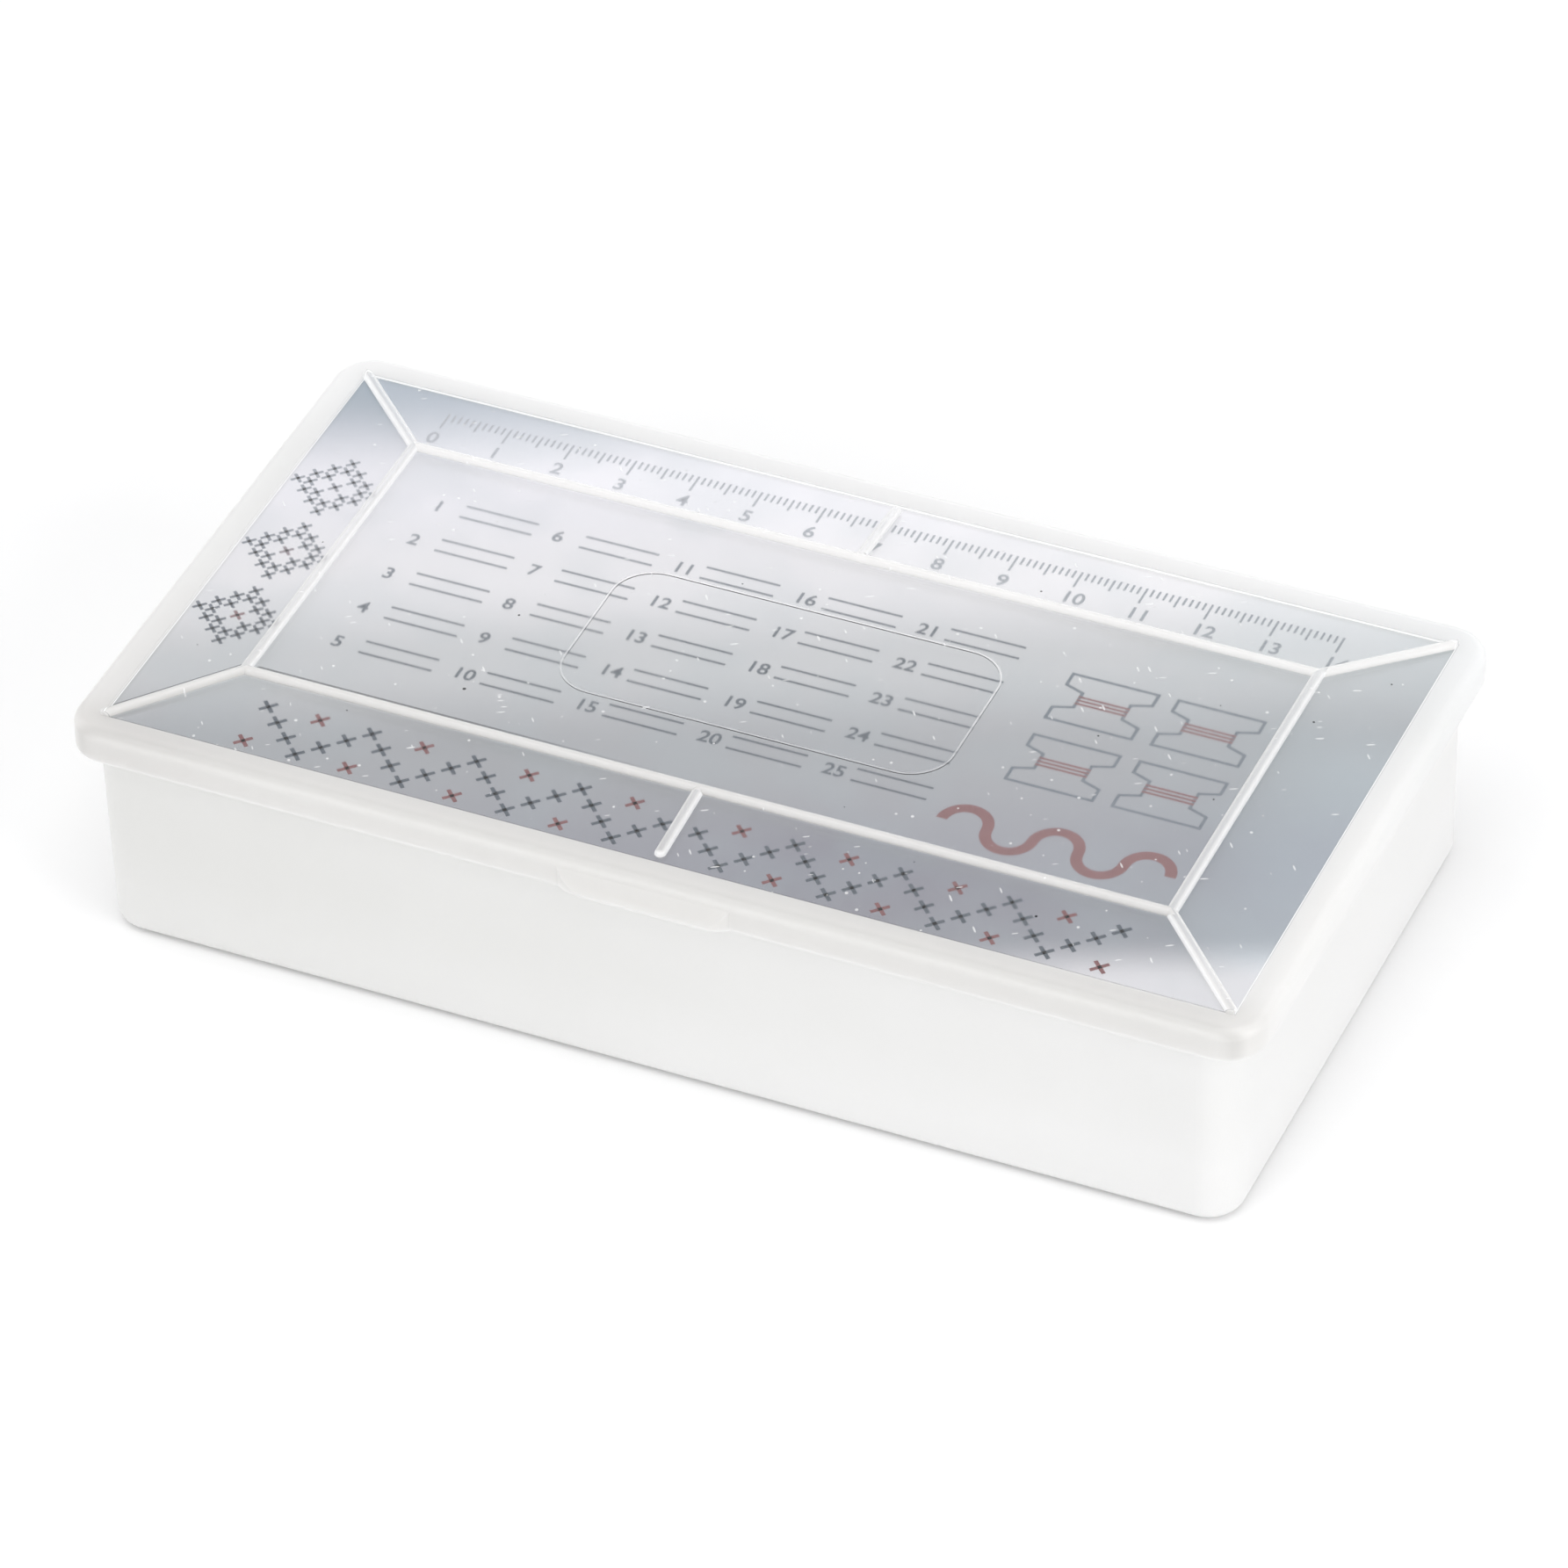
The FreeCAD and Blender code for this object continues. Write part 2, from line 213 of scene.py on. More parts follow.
# %% Start a group and place it
def new_group(name, inputs, outputs):
    """Group with number inputs, given with their usual values, and number outputs."""
    tree = bpy.data.node_groups.new(name, "ShaderNodeTree")
    for label, usual in inputs.items():
        socket = tree.interface.new_socket(label, in_out="INPUT", socket_type="NodeSocketFloat")
        socket.default_value = usual
    for label in outputs:
        tree.interface.new_socket(label, in_out="OUTPUT", socket_type="NodeSocketFloat")
    given = tree.nodes.new("NodeGroupInput").outputs
    wanted = tree.nodes.new("NodeGroupOutput").inputs
    return tree, given, wanted


def use_group(tree, group, **values):
    """Outputs of a shared group with its own input values."""
    node = tree.nodes.new("ShaderNodeGroup")
    node.node_tree = group
    for name, value in values.items():
        node.inputs[name.replace("_", " ")].default_value = value
    return node.outputs


print("helpers for groups are ready")

# %% Clouds and grain
CLOUD_DETAIL = 2.0
CLOUD_RANGE = (0.1, 0.9)
FINE_DETAIL = 3.0


def noise(tree, place, scale, detail):
    """Noise texture's value."""
    node = tree.nodes.new("ShaderNodeTexNoise")
    node.inputs["Detail"].default_value = detail
    tree.links.new(place, node.inputs["Vector"])
    feed(tree, node.inputs["Scale"], scale)
    return node.outputs["Fac"]


def moulded_skin_group():
    """Slow clouds and fine grain of moulded plastic."""
    scales = {"Cloud Scale": 45.0, "Grain Scale": 2600.0}
    tree, given, wanted = new_group("moulded_skin", scales, ("Cloud", "Grain"))
    place = object_place(tree)
    clouds = noise(tree, place, given["Cloud Scale"], CLOUD_DETAIL)
    tree.links.new(soft_step(tree, clouds, *CLOUD_RANGE), wanted["Cloud"])
    tree.links.new(noise(tree, place, given["Grain Scale"], FINE_DETAIL), wanted["Grain"])
    return tree


def bump(tree, height, depth):
    """Normal of a surface whose height varies by depth."""
    node = tree.nodes.new("ShaderNodeBump")
    node.inputs["Distance"].default_value = depth
    tree.links.new(height, node.inputs["Height"])
    return node.outputs["Normal"]


moulded_skin = moulded_skin_group()
print("group:", moulded_skin.name, len(moulded_skin.nodes), "nodes")

# %% Slanting line
BAND_LINE = Vector((-0.375, 0.927, 0.0))


def slant_group():
    """Millimetres along the slanting line that the card's bands follow."""
    tree, _, wanted = new_group("card_slant", {}, ("Slant",))
    along = tree.nodes.new("ShaderNodeVectorMath")
    along.operation = "DOT_PRODUCT"
    along.inputs[1].default_value = BAND_LINE / MM
    tree.links.new(object_place(tree), along.inputs[0])
    tree.links.new(along.outputs["Value"], wanted["Slant"])
    return tree


card_slant = slant_group()
print("group:", card_slant.name, len(card_slant.nodes), "nodes")

# %% [markdown]
# ## Dust
# Plastic draws dust. A Voronoi texture divides space into cells, and a small share of them
# holds one round speck each. On the tray the specks only change the colour, so there they are
# a group. On the lid's window they also make the plastic milky, and a mix of two shaders wants
# its mask in the material itself, so the lid builds its specks in its own graph.

# %% Specks
def speck_mask(tree, place, scale, size, share, flat=False):
    """Sparse round specks: a share of the cells of a Voronoi texture holds one each."""
    cells = tree.nodes.new("ShaderNodeTexVoronoi")
    cells.voronoi_dimensions = "2D" if flat else "3D"
    tree.links.new(place, cells.inputs["Vector"])
    feed(tree, cells.inputs["Scale"], scale)
    lot = tree.nodes.new("ShaderNodeSeparateColor")
    tree.links.new(cells.outputs["Color"], lot.inputs[0])
    drawn = math_node(tree, "LESS_THAN", lot.outputs[0], share)
    reach = math_node(tree, "MULTIPLY", lot.outputs[1], size)
    inside = math_node(tree, "LESS_THAN", cells.outputs["Distance"], reach)
    return math_node(tree, "MULTIPLY", drawn, inside)


def dust_group():
    """Dust as a group."""
    values = {"Scale": 220.0, "Size": 0.05, "Share": 0.2}
    tree, given, wanted = new_group("dust_specks", values, ("Specks",))
    specks = speck_mask(tree, object_place(tree), given["Scale"], given["Size"], given["Share"])
    tree.links.new(specks, wanted["Specks"])
    return tree


dust_specks = dust_group()
print("group:", dust_specks.name, len(dust_specks.nodes), "nodes")

# %% [markdown]
# ## Milky plastic of the tray
# Natural polypropylene scatters light inside its thin walls, so the tray glows a little and
# its inside is never dark. Subsurface scattering does that. Shade and light are painted into
# its tone: it is darker and warmer at the left end and higher up under the lid's skirt, and
# gets lighter and cooler towards the right end and the foot. The skin is satin, and its grain
# is too fine to see except in the highlights.

# %% Tray finish
# Painted shade and light: the shaded tone at the left end and higher up, the lit one to the right and at
# the foot.
MILK_SHADED_WARM = colour(0.692, 0.691, 0.676)
MILK_LIT_COOL = colour(0.788, 0.787, 0.783)
PAINTED_LIGHT_ALONG = {"start": -100 * MM, "end": 90 * MM, "high": 0.75}
PAINTED_LIGHT_FOOT = {"start": 20 * MM, "end": 2 * MM, "high": 0.35}
COOL_CLOUDS = 0.15
TRAY_DUST = {"Scale": 260.0, "Size": 0.06, "Share": 0.1}
DUST_GREY = colour(0.70, 0.70, 0.69)
TRAY_ROUGHNESS = (0.36, 0.48)
TRAY_GRAIN = 0.012 * MM
MOULDED_IOR = 1.49
MILK_SCATTER = 0.8
TRAY_DEPTH = 1.2 * MM


def milky_plastic():
    """Satin, light-scattering plastic of the tray, with painted shade and light in its tone."""
    material, tree, surface = new_material("milky_plastic")
    skin = use_group(tree, moulded_skin)
    specks = use_group(tree, dust_specks, **TRAY_DUST)["Specks"]
    spot = split_place(tree, object_place(tree))
    # painted light: lighter towards the right end and the foot, plus random clouds
    drift = chain(tree, "ADD", soft_step(tree, spot["X"], **PAINTED_LIGHT_ALONG),
                  soft_step(tree, spot["Z"], **PAINTED_LIGHT_FOOT),
                  math_node(tree, "MULTIPLY", skin["Cloud"], COOL_CLOUDS))
    milk = mix_colours(tree, drift, MILK_SHADED_WARM, MILK_LIT_COOL)
    shader = principled(
        tree, Base_Color=mix_colours(tree, specks, milk, DUST_GREY),
        Roughness=soft_step(tree, skin["Cloud"], 0.0, 1.0, *TRAY_ROUGHNESS),
        Normal=bump(tree, skin["Grain"], TRAY_GRAIN),
        IOR=MOULDED_IOR, **scattering(MILK_SCATTER, TRAY_DEPTH))
    tree.links.new(shader, surface)
    return material


tray_finish = milky_plastic()
print("finish:", tray_finish.name, len(tray_finish.node_tree.nodes), "nodes")

# %% [markdown]
# ## White plastic of the bobbins
# The bobbins are cut from thin white sheet. They are a little whiter and smoother than the
# tray, with the faint streaks that rolled sheet has along one direction. Noise that is
# stretched along X makes the streaks.

# %% Bobbin finish
SHEET_WHITE = colour(0.90, 0.90, 0.89)
SHEET_STREAK = colour(0.865, 0.865, 0.86)
STREAK_STRETCH = (0.08, 1.0, 1.0)
STREAK_SCALE = 900.0
STREAK_TONES = (0.35, 0.75)
STREAK_GLOSS = (0.3, 0.7)
SHEET_ROUGHNESS = (0.3, 0.42)
SHEET_GRAIN = 0.008 * MM
SHEET_IOR = 1.5
SHEET_SCATTER = 0.4
SHEET_DEPTH = 1.5 * MM


def bobbin_plastic():
    """Satin white sheet with faint streaks along X."""
    material, tree, surface = new_material("bobbin_plastic")
    stretch = tree.nodes.new("ShaderNodeMapping")
    stretch.inputs["Scale"].default_value = STREAK_STRETCH
    tree.links.new(object_place(tree), stretch.inputs["Vector"])
    streaks = noise(tree, stretch.outputs["Vector"], STREAK_SCALE, FINE_DETAIL)
    tones = soft_step(tree, streaks, *STREAK_TONES)
    grain = use_group(tree, moulded_skin)["Grain"]
    shader = principled(
        tree, Base_Color=mix_colours(tree, tones, SHEET_WHITE, SHEET_STREAK),
        Roughness=soft_step(tree, streaks, *STREAK_GLOSS, *SHEET_ROUGHNESS),
        Normal=bump(tree, grain, SHEET_GRAIN),
        IOR=SHEET_IOR, **scattering(SHEET_SCATTER, SHEET_DEPTH))
    tree.links.new(shader, surface)
    return material


bobbin_finish = bobbin_plastic()
print("finish:", bobbin_finish.name, len(bobbin_finish.node_tree.nodes), "nodes")

# %% [markdown]
# ## Where the lid is clear and where it is milky
# The middle of the lid is polished and lies close over the card, so it looks clear. The rim,
# the skirt and the round ribs look white. Each of these is a simple shape in plan, so its
# distance can be worked out from X and Y: a rectangle for the window, a smaller one for the
# ribs around the crown, the diagonals for the corner ribs, and a rounded rectangle for the
# fine outline in the middle.

# %% Distances from the window and the corner ribs
def lid_plan(tree, place):
    """X and Y over the lid, and how far a point is from its middle lines."""
    spot = split_place(tree, place)
    return {"x": spot["X"], "y": spot["Y"], "across": math_node(tree, "ABSOLUTE", spot["X"]),
            "along": math_node(tree, "ABSOLUTE", spot["Y"])}


def rectangle_distance(tree, across, along, half):
    """Distance outside a rectangle, negative inside."""
    return math_node(tree, "MAXIMUM", math_node(tree, "SUBTRACT", across, half.x),
                     math_node(tree, "SUBTRACT", along, half.y))


def crown_distance(tree, plan):
    """Distance outside the crown, negative on it."""
    return rectangle_distance(tree, plan["across"], plan["along"], crown_half)


def hip_offset(tree, plan):
    """Distance from a corner rib's middle line, positive towards the box's ends."""
    skew = math_node(tree, "SUBTRACT", math_node(tree, "SUBTRACT", plan["across"], crown_half.x),
                     math_node(tree, "SUBTRACT", plan["along"], crown_half.y))
    return math_node(tree, "MULTIPLY", skew, math.sqrt(0.5))


print("the corner ribs run", round(HIP_RUN / MM * math.sqrt(2), 1), "mm")

# %% Distances from all ribs
RIB_HALF = 0.85 * MM
MID_RIB_GAP = 1.0 * MM
CORNER_START = 1.15 * RIB_HALF


def middle_rib_distance(tree, plan):
    """Distance from the short middle ribs; on the crown, a mask of 1 puts them a metre away."""
    reach = window_half.y - MID_RIB_GAP - RIB_HALF
    past = math_node(tree, "MAXIMUM", math_node(tree, "SUBTRACT", plan["along"], reach), 0.0)
    squares = [math_node(tree, "MULTIPLY", value, value) for value in (plan["across"], past)]
    near = math_node(tree, "SQRT", math_node(tree, "ADD", *squares))
    return math_node(tree, "ADD", near, math_node(tree, "LESS_THAN", plan["along"], crown_half.y))


def rib_distance(tree, plan):
    """Distance from the nearest rib's middle line."""
    beyond = crown_distance(tree, plan)
    hip = math_node(tree, "ADD", math_node(tree, "ABSOLUTE", hip_offset(tree, plan)),
                    math_node(tree, "LESS_THAN", beyond, 0.0))
    return chain(tree, "MINIMUM", math_node(tree, "ABSOLUTE", beyond), hip,
                 middle_rib_distance(tree, plan))


def crossing_ribs(tree, plan):
    """Mask of the ribs that run from left to right, and the distance behind their middle line."""
    skew = hip_offset(tree, plan)
    depth = math_node(tree, "SUBTRACT", plan["along"], crown_half.y)
    corner = math_node(tree, "GREATER_THAN", crown_distance(tree, plan), CORNER_START)
    level = math_node(tree, "MULTIPLY", inverse(tree, corner), math_node(tree, "LESS_THAN", skew, 0.0))
    product = math_node(tree, "MULTIPLY", plan["x"], plan["y"])
    rising = chain(tree, "MULTIPLY", math_node(tree, "GREATER_THAN", product, 0.0),
                   math_node(tree, "GREATER_THAN", plan["across"], 2 * RIB_HALF), corner)
    behind = math_node(tree, "SUBTRACT", math_node(tree, "MULTIPLY", level, depth),
                       math_node(tree, "MULTIPLY", rising, skew))
    side = math_node(tree, "SIGN", plan["y"])
    return math_node(tree, "ADD", level, rising), math_node(tree, "MULTIPLY", behind, side)


print("ribs are", round(2 * RIB_HALF / MM, 1), "mm wide")

# %% Distance from the outlined field
FIELD_HALF = Vector((30.0, 14.5)) * MM
FIELD_CORNER = 6.5 * MM
FIELD_LINE = 0.4 * MM


def field_distance(tree, plan):
    """Distance from the middle of the outlined field's line."""
    side = math_node(tree, "SUBTRACT", plan["across"], FIELD_HALF.x - FIELD_CORNER)
    end = math_node(tree, "SUBTRACT", plan["along"], FIELD_HALF.y - FIELD_CORNER)
    outer = [math_node(tree, "MAXIMUM", value, 0.0) for value in (side, end)]
    squares = [math_node(tree, "MULTIPLY", value, value) for value in outer]
    round_part = math_node(tree, "SQRT", math_node(tree, "ADD", *squares))
    inner = math_node(tree, "MINIMUM", math_node(tree, "MAXIMUM", side, end), 0.0)
    reach = math_node(tree, "ADD", round_part, inner)
    off_line = math_node(tree, "SUBTRACT", reach, FIELD_CORNER - FIELD_LINE / 2)
    return math_node(tree, "ABSOLUTE", off_line)


print("outlined field in mm:", [round(2 * v / MM, 1) for v in FIELD_HALF])

# %% [markdown]
# ## Masks over the lid
# The distances become masks. Fine white lines of painted highlight run along the window's back
# and side edges, and a dark line of painted shade along its front edge. The ribs that run from
# left to right have a painted lit front slope and look cream. The other ribs look like clear
# rods with painted highlights on their edges. A dark line of painted shade lies behind the ribs
# at the front left, the outline in the middle is faint, and flecks, short fibres and a few dark
# specks lie on the window.

# %% Flecks and fibres
FLECKS = {"scale": 405.0, "size": 0.1, "share": 0.12}
FIBRES = {"scale": 1.0, "size": 0.1, "share": 0.12}
FIBRE_TURNS = (0.5, -0.9)
FIBRE_CELL = (1 / 150, 1 / 700, 1 / 150)
FLECK_MILK = 0.7


def window_dust(tree, place):
    """Light flecks and short fibres; a fibre is a speck in a long, thin cell."""
    dust = speck_mask(tree, place, **FLECKS, flat=True)
    for turn in FIBRE_TURNS:
        stretch = tree.nodes.new("ShaderNodeMapping")
        stretch.vector_type = "TEXTURE"
        stretch.inputs["Rotation"].default_value = (0.0, 0.0, turn)
        stretch.inputs["Scale"].default_value = FIBRE_CELL
        tree.links.new(place, stretch.inputs["Vector"])
        fibres = speck_mask(tree, stretch.outputs["Vector"], **FIBRES, flat=True)
        dust = math_node(tree, "MAXIMUM", dust, fibres)
    return math_node(tree, "MULTIPLY", dust, FLECK_MILK)


print("fibre directions:", len(FIBRE_TURNS))

# %% Masks of the window's edge
WINDOW_SHIFT = 0.25 * MM
RIM_SOFTNESS = 0.25 * MM
BACK_HIGHLIGHT = (0.8 * MM, 0.65 * MM)
SIDE_HIGHLIGHT = (0.4 * MM, 0.3 * MM)
FRONT_SHADE_LINE = (0.35 * MM, 0.2 * MM)
FRONT_SHADE_SHARE = 0.5


def edge_masks(tree, plan):
    """Masks of the milky rim, the window inside it, and painted highlight and shade lines at its edge."""
    sideways = math_node(tree, "ABSOLUTE", math_node(tree, "SUBTRACT", plan["x"], WINDOW_SHIFT))
    outside = rectangle_distance(tree, sideways, plan["along"], window_half)
    rim = soft_step(tree, outside, -RIM_SOFTNESS, 0.0)
    inside = inverse(tree, rim)
    # painted highlights: white lines along the window's back and side edges
    back = soft_step(tree, plan["y"], *[window_half.y - inset for inset in BACK_HIGHLIGHT])
    sides = soft_step(tree, sideways, *[window_half.x - inset for inset in SIDE_HIGHLIGHT])
    light = math_node(tree, "MULTIPLY", inside, math_node(tree, "MAXIMUM", back, sides))
    # painted shade: a dark line along the window's front edge
    front = [inset - window_half.y for inset in FRONT_SHADE_LINE]
    dark = soft_step(tree, plan["y"], *front, 0.0, FRONT_SHADE_SHARE)
    return {"rim": rim, "inside": inside, "light": light, "dark": dark}


print("edge lines in mm:", [round(line[0] / MM, 2) for line in (BACK_HIGHLIGHT, SIDE_HIGHLIGHT, FRONT_SHADE_LINE)])

# %% Masks of the ribs
RIB_EDGE = (1.07 * RIB_HALF, 0.98 * RIB_HALF)
LIT_RIB_SLOPE = (0.5 * RIB_HALF, 0.0)
ROD_CORE = (0.2 * RIB_HALF, 0.6 * RIB_HALF)
ROD_HIGHLIGHT = (0.55 * RIB_HALF, 0.8 * RIB_HALF)
RIB_MILK = (0.6, 0.92)
SHADE_BAND = (1.0 * RIB_HALF, 1.08 * RIB_HALF, 1.8 * RIB_HALF, 1.95 * RIB_HALF)
SHADE_RUN = (0.0, -40 * MM)
SHADE_SHARE = 0.78


def rib_masks(tree, plan, inside):
    """Masks of the ribs: milky, cream with painted light, bright with painted highlights, painted shade."""
    ridge = rib_distance(tree, plan)
    crossing, behind = crossing_ribs(tree, plan)
    on_rib = math_node(tree, "MULTIPLY", inside, soft_step(tree, ridge, *RIB_EDGE))
    cream = math_node(tree, "MULTIPLY", on_rib, crossing)
    rods = math_node(tree, "SUBTRACT", on_rib, cream)
    # painted light: the crossing ribs are milkier on their front slope
    lit = math_node(tree, "MULTIPLY", cream, soft_step(tree, behind, *LIT_RIB_SLOPE, *RIB_MILK))
    core = math_node(tree, "MULTIPLY", rods, soft_step(tree, ridge, *ROD_CORE, *RIB_MILK))
    # painted highlights along the edges of the other ribs
    bright = math_node(tree, "MULTIPLY", rods, soft_step(tree, ridge, *ROD_HIGHLIGHT))
    # painted shade: a dark line behind the ribs at the front left
    dark = chain(tree, "MULTIPLY", soft_band(tree, behind, *SHADE_BAND),
                 soft_step(tree, plan["x"], *SHADE_RUN, 0.0, SHADE_SHARE),
                 math_node(tree, "LESS_THAN", plan["y"], 0.0), inside)
    milk = math_node(tree, "MAXIMUM", core, lit)
    return {"milk": milk, "cream": cream, "bright": bright, "dark": dark}


print("milky share of the ribs:", RIB_MILK)

# %% All masks together
PANEL_MILK = 0.03
FIELD_LINE_EDGE = (0.5 * FIELD_LINE, 0.2 * FIELD_LINE)
FIELD_LINE_MILK = (0.3, 0.6)
DARK_SPECKS = {"scale": 150.0, "size": 0.04, "share": 0.05}


def lid_masks(tree, place):
    """Masks over the lid: milky plastic, painted lit cream ribs, painted highlights, dark specks, painted
    shade.
    """
    plan = lid_plan(tree, place)
    edge = edge_masks(tree, plan)
    ribs = rib_masks(tree, plan, edge["inside"])
    line = soft_step(tree, field_distance(tree, plan), *FIELD_LINE_EDGE)
    faint = soft_step(tree, plan["y"], -FIELD_HALF.y, FIELD_HALF.y, *FIELD_LINE_MILK)
    outline = math_node(tree, "MULTIPLY", line, faint)
    dust = math_node(tree, "MULTIPLY", edge["inside"], window_dust(tree, place))
    specks = speck_mask(tree, place, **DARK_SPECKS, flat=True)
    return {
        "milk": chain(tree, "MAXIMUM", dust, PANEL_MILK, outline, ribs["milk"], edge["light"], edge["rim"]),
        "cream": ribs["cream"],
        # painted highlights, the outline and dust
        "edges": chain(tree, "MAXIMUM", ribs["bright"], line, edge["light"], dust),
        # painted shade lines and dark specks
        "dark": chain(tree, "MAXIMUM", edge["dark"], specks, ribs["dark"]),
    }


print("least milky share of the window:", PANEL_MILK)

# %% [markdown]
# ## The lid's plastic
# Two Principled shaders share the lid. One is clear: light passes and is blurred a little by
# a faintly rough skin, so print that lies deeper looks softer, as it does in the real box.
# The other is milky like the tray, with painted shade in its tone: a darker line along its
# front edge, a skirt slightly darker towards its foot, a little shade towards the near left and
# the far right corner, and lighter tones towards the back. The masks mix the two, and only on
# the upper skin, so that light crosses each mask once. Lamps have to reach the card, so rays
# that carry light go straight through, a little dimmed by the milky parts.

# %% Tones of the milky parts
# Painted shade and light: darker at the front edge and its rounded lip, lighter towards the back.
LID_MILK_SHADING = (
    (-48.7, colour(0.625, 0.618, 0.604)),
    (-47.6, colour(0.65, 0.643, 0.63)),
    (-46.7, colour(0.566, 0.56, 0.547)),
    (-45.2, colour(0.65, 0.641, 0.627)),
    (-36.0, colour(0.715, 0.71, 0.70)),
    (20.0, colour(0.725, 0.725, 0.72)),
    (48.0, colour(0.79, 0.79, 0.79)),
)
# Painted shade: the skirt darkens towards its lower edge.
SKIRT_EDGE = (33.9 * MM, 32.4 * MM)
SKIRT_SHADE = colour(0.955, 0.955, 0.955)
# Painted shade towards the far right and the near left corner.
FAR_CORNER_SHADE = colour(0.94, 0.95, 0.955)
NEAR_CORNER_SHADE = colour(0.945, 0.94, 0.94)
CORNER_ACROSS = (50 * MM, 88 * MM)
CORNER_ALONG = (0.0, 42 * MM)
# Painted light on the crossing ribs: darker at the front, lighter at the back.
RIB_CREAM_SHADED = colour(0.655, 0.645, 0.63)
RIB_WHITE_LIT = colour(0.79, 0.78, 0.765)


def corner_share(tree, spot, side):
    """How near a point is to the far right corner, for side 1, or to the near left one, for -1."""
    across = soft_step(tree, spot["X"], *[side * reach for reach in CORNER_ACROSS])
    along = soft_step(tree, spot["Y"], *[side * reach for reach in CORNER_ALONG])
    return math_node(tree, "MULTIPLY", across, along)


def lid_tone(tree, spot, cream):
    """Colour of rim, skirt and ribs, with painted shade graded from the front edge to the back."""
    tone = tone_ramp(tree, math_node(tree, "DIVIDE", spot["Y"], MM), LID_MILK_SHADING)
    tone = tint(tree, soft_step(tree, spot["Z"], *SKIRT_EDGE), tone, SKIRT_SHADE)
    tone = tint(tree, corner_share(tree, spot, 1.0), tone, FAR_CORNER_SHADE)
    tone = tint(tree, corner_share(tree, spot, -1.0), tone, NEAR_CORNER_SHADE)
    ribs = mix_colours(tree, soft_step(tree, spot["Y"], 0.0, crown_half.y), RIB_CREAM_SHADED, RIB_WHITE_LIT)
    return mix_colours(tree, cream, tone, ribs)


print("tones from front to back:", len(LID_MILK_SHADING))

# %% Lid finish
LID_SKIN = {"Cloud_Scale": 35.0, "Grain_Scale": 1800.0}
CLEAR_TINT = colour(0.985, 0.988, 0.99)
SPECK_AND_SHADE_DARK = colour(0.02, 0.02, 0.02)
CLEAR_ROUGHNESS = (0.13, 0.19)
CLEAR_WAVES = 0.02 * MM
HIGHLIGHT_AND_MARK_WHITE = colour(0.95, 0.95, 0.95)
GRAIN_RANGE = (0.2, 0.8)
LID_ROUGHNESS = (0.28, 0.34)
LID_GRAIN = 0.01 * MM
LID_DEPTH = 4.0 * MM
LIGHT_PASSED_CLEAR = colour(0.93, 0.93, 0.94)
LIGHT_PASSED_MILK = colour(0.78, 0.78, 0.77)


def mix_shaders(tree, share, first, second):
    """Shader between two others."""
    node = tree.nodes.new("ShaderNodeMixShader")
    for socket, given in zip(node.inputs, (share, first, second)):
        feed(tree, socket, given)
    return node.outputs[0]


def lid_plastic():
    """Clear window with milky rim and ribs."""
    material, tree, surface = new_material("lid_plastic")
    place = object_place(tree)
    masks = lid_masks(tree, place)
    upper = inverse(tree, tree.nodes.new("ShaderNodeNewGeometry").outputs["Backfacing"])
    milk = math_node(tree, "MULTIPLY", masks["milk"], upper)
    dark = math_node(tree, "MULTIPLY", masks["dark"], upper)
    skin = use_group(tree, moulded_skin, **LID_SKIN)
    # dark specks and painted shade lines darken the clear skin's colour
    clear = principled(
        tree, Base_Color=mix_colours(tree, dark, CLEAR_TINT, SPECK_AND_SHADE_DARK),
        Roughness=soft_step(tree, skin["Cloud"], 0.0, 1.0, *CLEAR_ROUGHNESS),
        Normal=bump(tree, skin["Cloud"], CLEAR_WAVES), IOR=MOULDED_IOR, Transmission_Weight=1.0)
    tone = lid_tone(tree, split_place(tree, place), masks["cream"])
    # painted highlights, the outline and flecks of dust are white
    milky = principled(
        tree, Base_Color=mix_colours(tree, masks["edges"], tone, HIGHLIGHT_AND_MARK_WHITE),
        Roughness=soft_step(tree, skin["Grain"], *GRAIN_RANGE, *LID_ROUGHNESS),
        Normal=bump(tree, skin["Grain"], LID_GRAIN),
        IOR=MOULDED_IOR, **scattering(MILK_SCATTER, LID_DEPTH))
    plastic = mix_shaders(tree, milk, clear, milky)
    opening = tree.nodes.new("ShaderNodeBsdfTransparent")
    feed(tree, opening.inputs["Color"], mix_colours(tree, milk, LIGHT_PASSED_CLEAR, LIGHT_PASSED_MILK))
    rays = tree.nodes.new("ShaderNodeLightPath").outputs
    lighting = math_node(tree, "MAXIMUM", rays["Is Shadow Ray"], rays["Is Diffuse Ray"])
    tree.links.new(mix_shaders(tree, lighting, plastic, opening.outputs[0]), surface)
    return material


lid_finish = lid_plastic()
print("finish:", lid_finish.name, len(lid_finish.node_tree.nodes), "nodes")

# %% [markdown]
# ## The card
# The card is coated board with a silvery ground. Soft slanting bands run from a pale corner
# through slate to a pale band and on to blue-grey, and one colour ramp along the slanting line
# makes them all: the print's tones with a painted sheen in the pale ones. Painted shade makes
# the ground a little darker along the front, and a painted sheen makes it lighter and bluer at
# the right end. Slow clouds of grey-green and a fine fibre grain break up the even tone.

# %% Tones of the card
# Print and painted sheen: the pale stops are a painted sheen over the print's tones.
CARD_BANDS_AND_SHEEN = (
    (-65.0, colour(0.83, 0.80, 0.81)),
    (-54.5, colour(0.35, 0.355, 0.385)),
    (-40.0, colour(0.335, 0.34, 0.375)),
    (-15.0, colour(0.40, 0.41, 0.425)),
    (5.0, colour(0.60, 0.61, 0.615)),
    (24.0, colour(0.86, 0.85, 0.86)),
    (46.0, colour(0.91, 0.90, 0.935)),
    (70.0, colour(0.33, 0.39, 0.46)),
)
